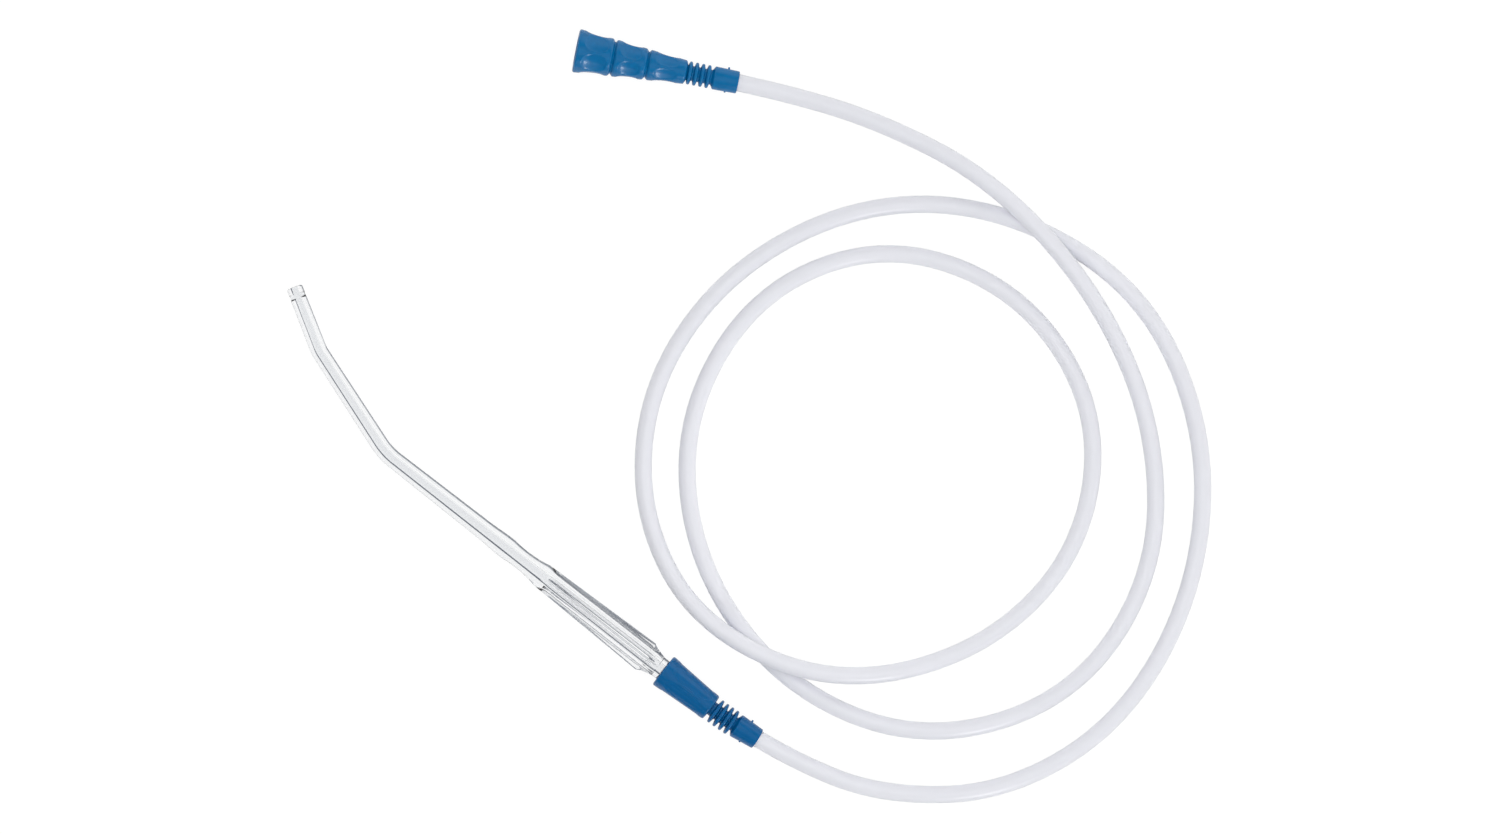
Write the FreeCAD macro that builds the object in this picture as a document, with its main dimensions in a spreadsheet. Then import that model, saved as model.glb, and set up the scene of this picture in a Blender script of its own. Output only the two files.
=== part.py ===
import FreeCAD, Part
import math
import os

import Sketcher

# A suction tip with its tube, laid out on a table: a clear moulded handle with two bends and a
# finned grip, a soft connector on its spigot, a long clear tube in loose loops, and a stepped
# soft connector for the suction source at the tube's far end. Millimetres, +Z up, table at 0.

doc = FreeCAD.newDocument("suction_tip_set")
Vector = FreeCAD.Vector
X, Y, Z = Vector(1, 0, 0), Vector(0, 1, 0), Vector(0, 0, 1)

# Driving sizes. Lengths on the handle run from the free end of its spigot towards the tip, and
# on a connector from its mouth towards the tube. Radii are from each piece's own axis.
SIZES = {
    # handle: lengths
    "spigot_depth": 20.0,
    "spigot_chamfer": 0.6,
    "spigot_show": 3.0,
    "fin_slope": 5.2,
    "fin_crown": 2.6,
    "grip_length": 64.3,
    "grip_step": 1.2,
    "flare_land": 1.0,
    "waist_length": 20.7,
    "bump_land": 3.6,
    "bump_slope": 8.2,
    "shaft_length": 63.0,
    "mid_length": 58.5,
    "tip_length": 32.6,
    # handle: bends, in degrees and on the middle line
    "mid_bend": 19.0,
    "mid_bend_radius": 34.0,
    "tip_bend": 11.7,
    "tip_bend_radius": 20.0,
    # handle: outside
    "spigot_radius": 5.2,
    "core_radius": 4.95,
    "fin_radius": 7.9,
    "fin_thickness": 1.6,
    "fin_root": 4.3,
    "flare_radius": 6.2,
    "waist_curve": 60.0,
    "bump_radius": 5.35,
    "shaft_radius": 4.85,
    "mid_bend_outer": 4.25,
    "tip_bend_outer": 4.0,
    "tip_radius": 3.85,
    "tip_round": 0.9,
    # handle: inside
    "bore_spigot": 2.3,
    "bore_mid_bend": 1.8,
    "bore_tip_bend": 1.7,
    "bore_tip": 1.6,
    "eye_radius": 1.5,
    "eye_from_end": 4.7,
    # tube
    "tube_radius": 4.15,
    "tube_bore": 2.8,
    "tube_grip": 10.0,
    "tube_lead": 28.0,
    "fit_gap": 0.03,
    # both connectors: bellows neck, collar and moulding nubs
    "neck_root": 3.6,
    "neck_bore": 2.6,
    "ring_pitch": 3.0,
    "ring_flank": 0.6,
    "ring_land": 1.1,
    "ring_tail": 1.75,
    "ring_root": 3.2,
    "collar_flank": 1.2,
    "edge": 0.6,
    "nub_radius": 0.65,
    "nub_top": 0.35,
    "nub_height": 1.0,
    "nub_sink": 0.5,
    # handle connector
    "hand_mouth_radius": 8.45,
    "hand_body_length": 29.2,
    "hand_body_end": 6.75,
    "hand_ring_lead": 2.8,
    "hand_ring_radius": 6.4,
    "hand_collar_length": 13.2,
    "hand_collar_start": 5.9,
    "hand_collar_end": 5.2,
    "hand_nub_from_end": 6.6,
    "hand_dimple_middle": 15.4,
    "hand_dimple_half": 11.0,
    "hand_dimple_across": 5.4,
    "hand_dimple_deep": 2.0,
    "hand_dimple_floor": 6.95,
    "neck_bend": 7.2,
    "neck_roll": 43.0,
    # source connector: three dimpled steps
    "mouth_radius": 10.5,
    "step_one_length": 16.8,
    "step_one_end": 9.1,
    "groove_width": 2.2,
    "groove_one": 7.6,
    "step_two_length": 14.5,
    "step_two_start": 8.95,
    "step_two_end": 7.6,
    "groove_two": 6.1,
    "step_three_length": 17.6,
    "step_three_start": 7.4,
    "step_three_end": 5.75,
    "ring_lead": 2.1,
    "ring_radius": 5.6,
    "collar_length": 12.9,
    "collar_start": 5.6,
    "collar_end": 5.4,
    "nub_from_end": 5.4,
    "bore_one": 7.0,
    "bore_one_length": 15.0,
    "bore_two": 5.5,
    "bore_two_length": 15.5,
    "bore_three": 4.25,
    "bore_three_length": 18.5,
    "dimple_one_middle": 9.2,
    "dimple_one_half": 8.3,
    "dimple_one_across": 13.0,
    "dimple_one_deep": 3.0,
    "dimple_one_floor": 9.05,
    "dimple_two_middle": 26.0,
    "dimple_two_half": 7.2,
    "dimple_two_across": 11.0,
    "dimple_two_deep": 2.6,
    "dimple_two_floor": 7.6,
    "dimple_three_middle": 43.8,
    "dimple_three_half": 6.8,
    "dimple_three_across": 3.6,
    "dimple_three_deep": 1.6,
    "dimple_three_floor": 5.8,
    # where the pieces lie, seen from above: the two mouths, and headings in degrees
    "hand_mouth_x": 98.77,
    "hand_mouth_y": -15.11,
    "source_mouth_x": -116.63,
    "source_mouth_y": 192.89,
    "source_heading": 27.0,
}
RINGS = 4
DIMPLES = 6
FINS = 4

# Stations worked out from the sizes, in a second sheet.
STATIONS = {
    "grip_foot": "sizes.spigot_depth + sizes.spigot_show",
    "grip_rear": "stations.grip_foot + sizes.fin_slope",
    "grip_full": "stations.grip_rear + sizes.fin_crown",
    "grip_front": "stations.grip_rear + sizes.grip_length",
    "flare_foot": "stations.grip_front - sizes.grip_step",
    "flare_front": "stations.grip_front + sizes.flare_land",
    "bump_rear": "stations.flare_front + sizes.waist_length",
    "bump_front": "stations.bump_rear + sizes.bump_land",
    "shaft_rear": "stations.bump_front + sizes.bump_slope",
    "mid_vertex": "stations.shaft_rear + sizes.shaft_length",
    "mid_tangent": "sizes.mid_bend_radius * tan(sizes.mid_bend / 2)",
    "tip_tangent": "sizes.tip_bend_radius * tan(sizes.tip_bend / 2)",
    "shaft_end": "stations.mid_vertex - stations.mid_tangent",
    "mid_run": "sizes.mid_length - stations.mid_tangent - stations.tip_tangent",
    "mid_run_end": "sizes.mid_length - stations.tip_tangent",
    "tip_shoulder": "sizes.tip_length - sizes.tip_round",
    "tip_face": "sizes.tip_radius - sizes.tip_round",
    "spigot_nose": "sizes.spigot_radius - sizes.spigot_chamfer",
    "fin_heel": "sizes.fin_radius - sizes.fin_crown / 2",
    "hand_body_edge": "sizes.hand_body_length - sizes.edge",
    "hand_body_face": "sizes.hand_body_end - sizes.edge",
    "hand_mouth_face": "sizes.hand_mouth_radius - sizes.edge",
    "hand_socket": "sizes.spigot_radius + sizes.fit_gap",
    "hand_neck_length": "sizes.hand_ring_lead + sizes.ring_pitch * 3 + sizes.ring_tail",
    "neck_radius": "stations.hand_neck_length / (sizes.neck_bend * pi / 180)",
    "tip_reach": "stations.mid_vertex - sizes.spigot_depth + sizes.mid_length * cos(sizes.mid_bend)"
    " + sizes.tip_length * cos(sizes.mid_bend + sizes.tip_bend)",
    "hand_tilt": "asin((sizes.hand_mouth_radius - sizes.tip_radius) / stations.tip_reach)",
    "ring_top": "sizes.ring_flank + sizes.ring_land",
    "ring_width": "sizes.ring_flank * 2 + sizes.ring_land",
    "hand_seat": "sizes.hand_collar_length - sizes.tube_grip",
    "hand_collar_edge": "sizes.hand_collar_length - sizes.edge / 2",
    "hand_collar_face": "sizes.hand_collar_end - sizes.edge / 2",
    "tube_socket": "sizes.tube_radius + sizes.fit_gap",
    "mouth_face": "sizes.mouth_radius - sizes.edge",
    "groove_one_middle": "sizes.step_one_length + sizes.groove_width / 2",
    "step_two_x": "sizes.step_one_length + sizes.groove_width",
    "step_two_rear": "stations.step_two_x + sizes.step_two_length",
    "groove_two_middle": "stations.step_two_rear + sizes.groove_width / 2",
    "step_three_x": "stations.step_two_rear + sizes.groove_width",
    "step_three_rear": "stations.step_three_x + sizes.step_three_length",
    "first_ring": "stations.step_three_rear + sizes.ring_lead - stations.ring_width / 2",
    "collar_x": "stations.step_three_rear + sizes.ring_lead + sizes.ring_pitch * 3 + sizes.ring_tail",
    "collar_full": "stations.collar_x + sizes.collar_flank",
    "source_end": "stations.collar_x + sizes.collar_length",
    "source_tilt": "asin((sizes.mouth_radius - sizes.collar_end) / stations.source_end)",
    "collar_edge": "stations.source_end - sizes.edge / 2",
    "collar_face": "sizes.collar_end - sizes.edge / 2",
    "source_seat": "stations.source_end - sizes.tube_grip",
    "bore_two_x": "sizes.bore_one_length",
    "bore_three_x": "sizes.bore_one_length + sizes.bore_two_length",
    "bore_four_x": "stations.bore_three_x + sizes.bore_three_length",
}
for ring in range(RINGS):
    start = f"stations.first_ring + sizes.ring_pitch * {ring}"
    STATIONS[f"ring_{ring}_foot"] = start
    STATIONS[f"ring_{ring}_crest"] = f"{start} + sizes.ring_flank"
    STATIONS[f"ring_{ring}_back"] = f"{start} + stations.ring_top"
    STATIONS[f"ring_{ring}_heel"] = f"{start} + stations.ring_width"


def fill_sheet(label, cells, formula):
    sheet = doc.addObject("Spreadsheet::Sheet", label)
    for row, (alias, content) in enumerate(cells.items(), start=1):
        sheet.set(f"A{row}", alias)
        sheet.set(f"B{row}", f"={content}" if formula else str(content))
        sheet.setAlias(f"B{row}", alias)
    doc.recompute()
    return sheet


sizes = fill_sheet("sizes", SIZES, formula=False)
# a sheet's own cells are named without its label
stations = fill_sheet(
    "stations", {k: v.replace("stations.", "") for k, v in STATIONS.items()}, formula=True
)


def number(name):
    """A size or a station as a plain number."""
    sheet = sizes if name in SIZES else stations
    value = sheet.get(name)
    return float(value.Value if hasattr(value, "Value") else value)


def bound(name):
    """A size or a station as an expression."""
    return f"{'sizes' if name in SIZES else 'stations'}.{name}"


def origin_feature(body, role):
    return next(f for f in body.Origin.OriginFeatures if f.Role == role)


def outline(body, name, corners, plane="XY_Plane"):
    """A closed sketch. A corner is (x, y), as names of sizes or stations, or None on an axis.
    (x, y, radius, side) starts an arc to the next corner, hollow to the axis for side -1."""
    sketch = body.newObject("Sketcher::SketchObject", name)
    sketch.AttachmentSupport = [(origin_feature(body, plane), "")]
    sketch.MapMode = "FlatFace"
    points = [Vector(number(c[0]) if c[0] else 0, number(c[1]) if c[1] else 0, 0) for c in corners]
    ends = []
    for i, corner in enumerate(corners):
        start, end = points[i], points[(i + 1) % len(points)]
        if len(corner) == 2:
            edge = sketch.addGeometry(Part.LineSegment(start, end))
            ends.append((edge, 1, 2))
            continue
        radius, side = number(corner[2]), corner[3]
        chord = end - start
        sag = radius - math.sqrt(radius**2 - chord.Length**2 / 4)
        across = Vector(-chord.y, chord.x, 0).normalize()
        middle = start + chord / 2 + across * sag * side
        edge = sketch.addGeometry(Part.Arc(start, middle, end))
        first = 1 if sketch.getPoint(edge, 1).distanceToPoint(start) < 1e-6 else 2
        ends.append((edge, first, 3 - first))
        at = sketch.addConstraint(Sketcher.Constraint("Radius", edge, radius))
        sketch.setExpression(f"Constraints[{at}]", bound(corner[2]))
    for i, corner in enumerate(corners):
        edge, first, last = ends[i]
        after = ends[(i + 1) % len(ends)]
        sketch.addConstraint(Sketcher.Constraint("Coincident", edge, last, after[0], after[1]))
        for value, kind, axis in ((corner[0], "DistanceX", -2), (corner[1], "DistanceY", -1)):
            if value is None:
                sketch.addConstraint(Sketcher.Constraint("PointOnObject", edge, first, axis))
                continue
            rule = Sketcher.Constraint(kind, edge, first, number(value))
            at = sketch.addConstraint(rule)
            sketch.setExpression(f"Constraints[{at}]", bound(value))
    return sketch


def turned(body, name, corners):
    """A turned section: the outline goes once round the X axis."""
    sketch = outline(body, f"{name}_section", corners)
    turn = body.newObject("PartDesign::Revolution", name)
    turn.Profile = sketch
    turn.ReferenceAxis = (sketch, ["H_Axis"])
    turn.Angle = 360
    doc.recompute()
    return turn


def around(body, name, feature, count):
    """The feature repeated evenly round the X axis."""
    pattern = body.newObject("PartDesign::PolarPattern", name)
    pattern.Originals = [feature]
    pattern.Axis = (origin_feature(body, "X_Axis"), [""])
    pattern.Angle = 360
    pattern.Occurrences = count
    body.Tip = pattern
    doc.recompute()
    return pattern


def dimples(body, name):
    """Six shallow oval finger dimples, with the first one facing +Y."""
    before = body.Shape.Volume
    dent = body.newObject("PartDesign::SubtractiveEllipsoid", f"{name}_dent")
    dent.setExpression("Radius1", f"sizes.{name}_across")
    dent.setExpression("Radius2", f"sizes.{name}_half")
    dent.setExpression("Radius3", f"sizes.{name}_deep")
    dent.setExpression("Placement.Base.x", f"sizes.{name}_middle")
    dent.setExpression("Placement.Base.y", f"sizes.{name}_floor + sizes.{name}_deep")
    doc.recompute()
    around(body, f"{name}_ring", dent, DIMPLES)
    if not body.Shape.Volume < before:
        raise RuntimeError(f"{name} cuts nothing")


def placed(piece, base=(None, None, None), turn=None):
    """Puts a piece at a point and turns it by (axis, angle), both as expressions."""
    if turn:
        piece.Placement = FreeCAD.Placement(Vector(), FreeCAD.Rotation(turn[0], 1))
        piece.setExpression("Placement.Rotation.Angle", turn[1])
    for axis, rule in zip("xyz", base):
        if rule:
            piece.setExpression(f"Placement.Base.{axis}", rule)
    return piece


def nubs(body, name, along, level, roll):
    """Two small cones on opposite sides of a collar, at an angle from +Y."""
    nub = body.newObject("PartDesign::AdditiveCone", f"{name}_nub")
    nub.setExpression("Radius1", "sizes.nub_radius")
    nub.setExpression("Radius2", "sizes.nub_top")
    nub.setExpression("Height", "sizes.nub_sink + sizes.nub_height")
    base = (along, f"({level}) * cos({roll})", f"({level}) * sin({roll})")
    placed(nub, base, (X, f"{roll} + 270"))
    doc.recompute()
    around(body, f"{name}_nubs", nub, 2)


def primitive(kind, name, sizes_of, base=(None, None, None), turn=None):
    """A Part primitive with its sizes, its place and its turn as expressions."""
    piece = doc.addObject(f"Part::{kind}", name)
    for prop, rule in sizes_of.items():
        piece.setExpression(prop, rule)
    return placed(piece, base, turn)


def joined(name, pieces):
    whole = doc.addObject("Part::MultiFuse", name)
    whole.Shapes = pieces
    whole.Refine = True
    return whole


def cut(name, base, tool):
    rest = doc.addObject("Part::Cut", name)
    rest.Base, rest.Tool = base, tool
    return rest


def front_of_handle(name, mid_radius, bend_radius, tip_piece):
    """The bent front, seen from the middle bend: each bend is an arc that meets its straight
    runs smoothly, and both turn to -Y. The same chain gives the outside and the bore."""
    mid_arc = primitive(
        "Torus",
        f"{name}_mid_arc",
        {
            "Radius1": "sizes.mid_bend_radius",
            "Radius2": mid_radius,
            "Angle3": "sizes.mid_bend",
        },
        ("stations.shaft_end", "-sizes.mid_bend_radius", None),
        (Z, "90 - sizes.mid_bend"),
    )
    mid_run = primitive(
        "Cone",
        f"{name}_mid_run",
        {"Radius1": mid_radius, "Radius2": bend_radius, "Height": "stations.mid_run"},
        ("stations.mid_tangent", None, None),
        (Y, "90"),
    )
    tip_arc = primitive(
        "Torus",
        f"{name}_tip_arc",
        {
            "Radius1": "sizes.tip_bend_radius",
            "Radius2": bend_radius,
            "Angle3": "sizes.tip_bend",
        },
        ("stations.mid_run_end", "-sizes.tip_bend_radius", None),
        (Z, "90 - sizes.tip_bend"),
    )
    placed(tip_piece, ("sizes.mid_length", None, None), (-Z, "sizes.tip_bend"))
    front = joined(f"{name}_front", [mid_run, tip_arc, tip_piece])
    placed(front, ("stations.mid_vertex", None, None), (-Z, "sizes.mid_bend"))
    return [mid_arc, front]


# The handle's rear: a plain spigot, a round core under four fins, a hollow waist behind a low
# bump that stops the fingers, and the long shaft up to the middle bend.
grip = doc.addObject("PartDesign::Body", "grip_and_shaft")
turned(
    grip,
    "grip_core",
    [
        (None, None),
        (None, "spigot_nose"),
        ("spigot_chamfer", "spigot_radius"),
        ("grip_foot", "spigot_radius"),
        ("grip_foot", "core_radius"),
        ("flare_foot", "core_radius"),
        ("grip_front", "flare_radius"),
        ("flare_front", "flare_radius", "waist_curve", -1),
        ("bump_rear", "bump_radius"),
        ("bump_front", "bump_radius"),
        ("shaft_rear", "shaft_radius"),
        ("shaft_end", "mid_bend_outer"),
        ("shaft_end", None),
    ],
)
fin_outline = outline(
    grip,
    "fin_outline",
    [
        ("grip_foot", "fin_root"),
        ("grip_foot", "spigot_radius"),
        ("grip_rear", "fin_heel"),
        ("grip_full", "fin_radius"),
        ("grip_front", "flare_radius"),
        ("grip_front", "fin_root"),
    ],
)
fin = grip.newObject("PartDesign::Pad", "fin")
fin.Profile = fin_outline
fin.SideType = "Symmetric"
fin.setExpression("Length", "sizes.fin_thickness")
doc.recompute()
around(grip, "fins", fin, FINS)

# The handle's tip: a plain nose with a rounded rim.
tip = doc.addObject("PartDesign::Body", "tip")
turned(
    tip,
    "tip_nose",
    [
        ("tip_tangent", None),
        ("tip_tangent", "tip_bend_outer"),
        ("tip_shoulder", "tip_radius", "tip_round", 1),
        ("tip_length", "tip_face"),
        ("tip_length", None),
    ],
)

# The lumen, a little narrower towards the tip, where two side eyes open into it.
shaft_lumen = primitive(
    "Cone",
    "shaft_lumen",
    {
        "Radius1": "sizes.bore_spigot",
        "Radius2": "sizes.bore_mid_bend",
        "Height": "stations.shaft_end",
    },
    turn=(Y, "90"),
)
tip_lumen = primitive(
    "Cone",
    "tip_lumen",
    {
        "Radius1": "sizes.bore_tip_bend",
        "Radius2": "sizes.bore_tip",
        "Height": "sizes.tip_length - stations.tip_tangent",
    },
    ("stations.tip_tangent", None, None),
    (Y, "90"),
)
side_eyes = primitive(
    "Cylinder",
    "side_eyes",
    {"Radius": "sizes.eye_radius", "Height": "sizes.tip_radius * 4"},
    ("sizes.tip_length - sizes.eye_from_end", "sizes.tip_radius * 2", None),
    (X, "90"),
)
outer_front = front_of_handle("outside", "sizes.mid_bend_outer", "sizes.tip_bend_outer", tip)
lumen_front = front_of_handle(
    "lumen",
    "sizes.bore_mid_bend",
    "sizes.bore_tip_bend",
    joined("tip_lumen_and_eyes", [tip_lumen, side_eyes]),
)
handle = cut(
    "suction_handle",
    joined("handle_outside", [grip] + outer_front),
    joined("handle_lumen", [shaft_lumen] + lumen_front),
)
doc.recompute()

# The handle's connector: a soft tapered sleeve with six long finger dimples.
sleeve = doc.addObject("PartDesign::Body", "hand_sleeve")
turned(
    sleeve,
    "sleeve_shell",
    [
        (None, "hand_mouth_face"),
        ("edge", "hand_mouth_radius"),
        ("hand_body_edge", "hand_body_end"),
        ("hand_body_length", "hand_body_face"),
        ("hand_body_length", "neck_bore"),
        ("spigot_depth", "neck_bore"),
        ("spigot_depth", "hand_socket"),
        (None, "hand_socket"),
    ],
)
dimples(sleeve, "hand_dimple")


# Its neck: a short bellows that bends as it lies, with rings square to its bent middle line.
def along_neck(piece, length):
    """Stands a piece square on the bent neck, at a length along it."""
    angle = f"(sizes.neck_bend * ({length}) / stations.hand_neck_length)"
    base = (f"stations.neck_radius * sin({angle})", f"stations.neck_radius * (1 - cos({angle}))", None)
    return placed(piece, base, (Z, angle))


def neck_pipe(name, radius):
    return primitive(
        "Torus",
        name,
        {"Radius1": "stations.neck_radius", "Radius2": radius, "Angle3": "sizes.neck_bend"},
        (None, "stations.neck_radius", None),
        (-Z, "90"),
    )


hand_rings = []
for i in range(RINGS):
    ring = doc.addObject("PartDesign::Body", f"hand_ring_{i}")
    turned(
        ring,
        f"hand_ring_{i}_turn",
        [
            (None, "ring_root"),
            ("ring_flank", "hand_ring_radius"),
            ("ring_top", "hand_ring_radius"),
            ("ring_width", "ring_root"),
        ],
    )
    along_neck(ring, f"sizes.hand_ring_lead + sizes.ring_pitch * {i} - stations.ring_width / 2")
    hand_rings.append(ring)

# Its collar takes the tube, and has two small moulding nubs, level on each side.
hand_collar = doc.addObject("PartDesign::Body", "hand_collar")
turned(
    hand_collar,
    "hand_collar_shell",
    [
        (None, "neck_root"),
        ("collar_flank", "hand_collar_start"),
        ("hand_collar_edge", "hand_collar_end"),
        ("hand_collar_length", "hand_collar_face"),
        ("hand_collar_length", "tube_socket"),
        ("hand_seat", "tube_socket"),
        ("hand_seat", "neck_bore"),
        (None, "neck_bore"),
    ],
)
nubs(
    hand_collar,
    "hand",
    "sizes.hand_collar_length - sizes.hand_nub_from_end",
    "(sizes.hand_collar_start + sizes.hand_collar_end) / 2 - sizes.nub_sink",
    "sizes.neck_roll",
)
along_neck(hand_collar, "stations.hand_neck_length")
hand_neck = cut(
    "hand_neck",
    joined("neck_outside", [neck_pipe("neck_wall", "sizes.neck_root"), hand_collar] + hand_rings),
    neck_pipe("neck_passage", "sizes.neck_bore"),
)
placed(hand_neck, ("sizes.hand_body_length", None, None), (-X, "sizes.neck_roll"))
handle_connector = joined("handle_connector", [sleeve, hand_neck])
doc.recompute()

# The source connector: three dimpled steps that fit outlets of three bores, then the same
# bellows neck and collar, all one soft moulding.
source_connector = doc.addObject("PartDesign::Body", "source_connector")
bellows = []
for i in range(RINGS):
    bellows += [
        (f"ring_{i}_foot", "neck_root"),
        (f"ring_{i}_crest", "ring_radius"),
        (f"ring_{i}_back", "ring_radius"),
        (f"ring_{i}_heel", "neck_root"),
    ]
turned(
    source_connector,
    "stepped_shell",
    [
        (None, "mouth_face"),
        ("edge", "mouth_radius"),
        ("step_one_length", "step_one_end"),
        ("groove_one_middle", "groove_one"),
        ("step_two_x", "step_two_start"),
        ("step_two_rear", "step_two_end"),
        ("groove_two_middle", "groove_two"),
        ("step_three_x", "step_three_start"),
        ("step_three_rear", "step_three_end"),
    ]
    + bellows
    + [
        ("collar_x", "neck_root"),
        ("collar_full", "collar_start"),
        ("collar_edge", "collar_end"),
        ("source_end", "collar_face"),
        ("source_end", "tube_socket"),
        ("source_seat", "tube_socket"),
        ("source_seat", "neck_bore"),
        ("bore_four_x", "neck_bore"),
        ("bore_four_x", "bore_three"),
        ("bore_three_x", "bore_three"),
        ("bore_three_x", "bore_two"),
        ("bore_two_x", "bore_two"),
        ("bore_two_x", "bore_one"),
        (None, "bore_one"),
    ],
)
for step in ("dimple_one", "dimple_two", "dimple_three"):
    dimples(source_connector, step)
nubs(
    source_connector,
    "source",
    "stations.source_end - sizes.nub_from_end",
    "(sizes.collar_start + sizes.collar_end) / 2 - sizes.nub_sink",
    "0",
)

# As they lie: the handle rests on its tip and on its connector's mouth, and the source
# connector on the rims of its mouth and collar.
placed(
    handle_connector,
    (
        "sizes.hand_mouth_x",
        "sizes.hand_mouth_y",
        "sizes.hand_mouth_radius * cos(stations.hand_tilt) - sizes.edge * sin(stations.hand_tilt)",
    ),
    (-Y, "stations.hand_tilt"),
)
handle.setExpression(
    "Placement",
    "handle_connector.Placement"
    " * placement(vector(sizes.spigot_depth; 0; 0); rotation(vector(0; 0; 1); 180))",
)
source_connector.setExpression(
    "Placement",
    "placement(vector(sizes.source_mouth_x; sizes.source_mouth_y;"
    " sizes.mouth_radius * cos(stations.source_tilt) + sizes.edge * sin(stations.source_tilt));"
    " rotation(vector(0; 0; 1); sizes.source_heading)"
    " * rotation(vector(0; 1; 0); stations.source_tilt))",
)
doc.recompute()

# The tube's route, seen from above: a large loop, a smaller one inside it and a last run over
# the top to the source connector. Where it crosses itself, two points stand over the crossing.
LOW = number("tube_radius")
OVER = number("tube_radius") * 5
ROUTE = [
    (219, 2, LOW),
    (265, 40, LOW),
    (288, 102, LOW),
    (276, 174, LOW),
    (234, 235, LOW),
    (168, 270, LOW),
    (93, 261, LOW),
    (37, 222, LOW),
    (6, 158, LOW),
    (8, 91, LOW),
    (42, 38, LOW),
    (98, 12, OVER),
    (168, 29, OVER),
    (214, 86, LOW),
    (222, 153, LOW),
    (188, 211, LOW),
    (123, 234, LOW),
    (57, 213, LOW),
    (22, 155, LOW),
    (32, 84, LOW),
    (81, 33, LOW),
    (152, 14, LOW),
    (220, 35, LOW),
    (262, 95, LOW),
    (257, 166, LOW),
    (213, 222, LOW),
    (150, 255, OVER),
    (79, 267, OVER),
    (18, 256, LOW),
]


def ends_in(frame, seat):
    """Where the tube seats in a collar, and the end of its straight lead out of it."""
    lead = seat + number("tube_lead")
    return [frame.multVec(Vector(seat, 0, 0)), frame.multVec(Vector(lead, 0, 0))]


def rounded_path(points):
    """Straight runs joined by tangent arcs, each arc as large as its two runs allow."""
    edges, radii = [], []
    start = points[0]
    for before, corner, after in zip(points, points[1:], points[2:]):
        inward, onward = corner - before, after - corner
        reach = ARC_SHARE * min(inward.Length, onward.Length)
        half_turn = inward.getAngle(onward) / 2
        radius = reach / math.tan(half_turn)
        inward.normalize()
        onward.normalize()
        arc_start, arc_end = corner - inward * reach, corner + onward * reach
        towards_centre = (onward - inward).normalize()
        arc_middle = corner + towards_centre * radius * (1 / math.cos(half_turn) - 1)
        edges.append(Part.LineSegment(start, arc_start).toShape())
        edges.append(Part.Arc(arc_start, arc_middle, arc_end).toShape())
        radii.append(radius)
        start = arc_end
    edges.append(Part.LineSegment(start, points[-1]).toShape())
    return Part.Wire(edges), radii


ARC_SHARE = 0.45
collar_frame = handle_connector.Placement * hand_neck.Placement * hand_collar.Placement
from_handle = ends_in(collar_frame, number("hand_seat"))
to_source = ends_in(source_connector.Placement, number("source_seat"))
route = from_handle + [Vector(*point) for point in ROUTE] + to_source[::-1]
path, radii = rounded_path(route)
rims = [
    Part.Wire(Part.Circle(route[0], route[1] - route[0], number(size)).toShape())
    for size in ("tube_radius", "tube_bore")
]
tube = doc.addObject("Part::Feature", "suction_tube")
tube.Shape = path.makePipe(Part.makeFace(rims, "Part::FaceMakerBullseye"))
print("tube: runs", [round((b - a).Length) for a, b in zip(route, route[1:])])
print("tube: arc radii", [round(radius) for radius in radii])
section = math.pi * (number("tube_radius") ** 2 - number("tube_bore") ** 2)
print(f"tube: length {path.Length:.1f}, volume {tube.Shape.Volume:.0f} of {section * path.Length:.0f}")

doc.recompute()
for item in doc.Objects:
    if "Invalid" in item.State or "Error" in item.State:
        raise RuntimeError(f"{item.Label} did not build")

os.makedirs("parts", exist_ok=True)
for piece in (handle, handle_connector, tube, source_connector):
    piece.Label = piece.Name
    if piece.Shape.isNull() or not piece.Shape.isValid():
        raise RuntimeError(f"{piece.Label} is not a valid shape")
    piece.Shape.exportStep(f"parts/{piece.Label}.step")
    box = piece.Shape.BoundBox
    print(piece.Label, len(piece.Shape.Solids), round(piece.Shape.Volume, 1), box)
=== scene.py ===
import math

import bmesh
import bpy
from mathutils import Matrix, Vector


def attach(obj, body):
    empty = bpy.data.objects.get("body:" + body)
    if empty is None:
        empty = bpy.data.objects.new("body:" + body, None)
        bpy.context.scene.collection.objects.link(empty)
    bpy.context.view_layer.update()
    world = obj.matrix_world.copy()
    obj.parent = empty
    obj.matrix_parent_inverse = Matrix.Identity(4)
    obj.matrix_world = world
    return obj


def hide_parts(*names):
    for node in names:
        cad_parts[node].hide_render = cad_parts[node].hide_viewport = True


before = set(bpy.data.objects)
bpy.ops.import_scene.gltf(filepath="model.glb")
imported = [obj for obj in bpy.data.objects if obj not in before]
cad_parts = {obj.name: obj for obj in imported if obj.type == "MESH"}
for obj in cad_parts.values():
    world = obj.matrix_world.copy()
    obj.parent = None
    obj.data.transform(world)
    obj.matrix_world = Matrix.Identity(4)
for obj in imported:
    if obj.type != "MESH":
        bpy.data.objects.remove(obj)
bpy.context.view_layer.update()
MM = 0.001

# Camera: looks straight down on the table through a long lens, turned so that the handle runs
# from the upper left to the middle of the view. The frame is 1500 by 834.
VIEW_CENTRE = (0.0569, 0.1060)
VIEW_WIDTH = 0.720
VIEW_HEIGHT = 3.0
VIEW_TURN = math.radians(38.0)
SENSOR_WIDTH = 36.0

camera_data = bpy.data.cameras.new("table_camera")
camera_data.sensor_width = SENSOR_WIDTH
camera_data.lens = SENSOR_WIDTH * VIEW_HEIGHT / VIEW_WIDTH
camera_data.clip_end = 10
camera = bpy.data.objects.new("table_camera", camera_data)
camera.location = (*VIEW_CENTRE, VIEW_HEIGHT)
camera.rotation_euler = (0, 0, VIEW_TURN)
bpy.context.collection.objects.link(camera)
bpy.context.scene.camera = camera

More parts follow.
